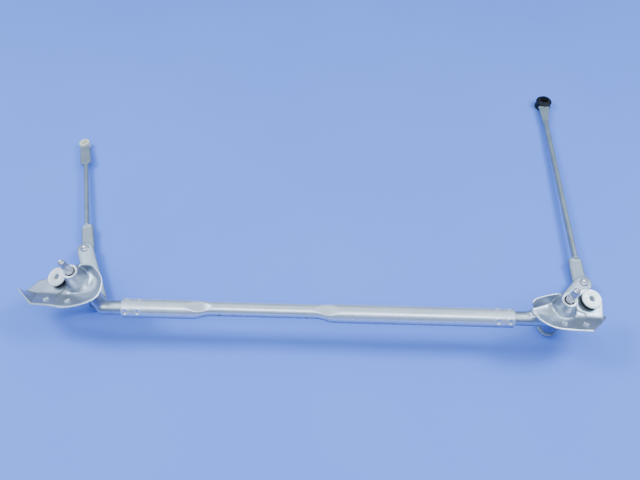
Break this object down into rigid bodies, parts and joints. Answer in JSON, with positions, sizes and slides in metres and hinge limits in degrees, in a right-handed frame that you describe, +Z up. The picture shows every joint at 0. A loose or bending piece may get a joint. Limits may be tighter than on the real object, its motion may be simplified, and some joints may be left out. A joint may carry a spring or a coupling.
{
  "type": "windshield wiper linkage",
  "caption": "Windshield wiper linkage frame: a crimped tube joining cast pivot holders with grommet ears, wiper shafts, crank levers and ball-jointed link rods for a motor crank.",
  "frame": {"origin": "on the surface that the linkage lies on, at the middle of its outline seen from above", "axes": "+X along the frame tube from the short link's end to the long link's end, +Y from the tube towards the links' free ends, +Z up, out of the surface and roughly along the wiper shafts"},
  "size_m": [0.7366, 0.49, 0.1088],
  "materials": {
    "tube_steel": "zinc-plated drawn steel, satin",
    "cast_alloy": "die-cast, satin",
    "bright_zinc": "bright zinc plate",
    "shaft_steel": "turned and zinc-plated",
    "lever_steel": "matte zinc",
    "rod_steel": "matte zinc, slightly green",
    "ivory_nylon": "moulded, semi-gloss",
    "black_nylon": "moulded, matt",
    "black_rubber": "moulded, matt",
    "bush_bronze": "sintered bronze"
  },
  "bodies": {
    "frame": {"frame_tube": "tube_steel", "left_pivot_holder": "cast_alloy", "left_lower_bush": "bush_bronze", "left_upper_bush": "bush_bronze", "left_thrust_washer": "bright_zinc", "left_shaft_seal": "black_rubber", "left_wave_washer": "bright_zinc", "left_ear_grommet": "black_rubber", "left_ear_sleeve": "bright_zinc", "left_ear_washer": "bright_zinc", "right_pivot_holder": "cast_alloy", "right_lower_bush": "bush_bronze", "right_upper_bush": "bush_bronze", "right_thrust_washer": "bright_zinc", "right_shaft_seal": "black_rubber", "right_wave_washer": "bright_zinc", "right_ear_grommet": "black_rubber", "right_ear_sleeve": "bright_zinc", "right_ear_washer": "bright_zinc"},
    "left_arm": {"left_circlip": "shaft_steel", "left_wiper_shaft": "shaft_steel", "left_crank_lever": "lever_steel", "left_ball_stud": "bright_zinc"},
    "left_boot": {"left_dust_boot": "black_rubber"},
    "left_link": {"left_lever_socket": "black_nylon", "left_motor_socket": "ivory_nylon", "left_link_rod": "rod_steel"},
    "right_arm": {"right_circlip": "shaft_steel", "right_wiper_shaft": "shaft_steel", "right_crank_lever": "lever_steel", "right_ball_stud": "bright_zinc"},
    "right_boot": {"right_dust_boot": "black_rubber"},
    "right_link": {"right_lever_socket": "black_nylon", "right_motor_socket": "black_nylon", "right_link_rod": "rod_steel"}
  },
  "joints": [
    {"name": "left_shaft_turn", "type": "hinge", "parent": "frame", "child": "left_arm", "pos_m": [-0.27469, -0.18077, 0.00981], "axis": [-0.1716, -0.1541, 0.973], "range_deg": [-45, 45]},
    {"name": "left_link_swing", "type": "hinge", "parent": "left_arm", "child": "left_boot", "pos_m": [-0.30585, -0.10228, 0.0075], "axis": [-0.1716, -0.1541, 0.973], "range_deg": [-60, 60]},
    {"name": "left_link_tilt", "type": "hinge", "parent": "left_boot", "child": "left_link", "pos_m": [-0.30585, -0.10228, 0.0075], "axis": [-0.948, -0.2431, -0.2056], "range_deg": [-5, 5]},
    {"name": "right_shaft_turn", "type": "hinge", "parent": "frame", "child": "right_arm", "pos_m": [0.27991, -0.20135, 0.00806], "axis": [0.0517, -0.1562, 0.9864], "range_deg": [-45, 45]},
    {"name": "right_link_swing", "type": "hinge", "parent": "right_arm", "child": "right_boot", "pos_m": [0.3367, -0.13564, 0.00637], "axis": [0.0517, -0.1562, 0.9864], "range_deg": [-60, 60]},
    {"name": "right_link_tilt", "type": "hinge", "parent": "right_boot", "child": "right_link", "pos_m": [0.3367, -0.13564, 0.00637], "axis": [-0.9968, 0.0519, 0.0605], "range_deg": [-5, 5]}
  ]
}
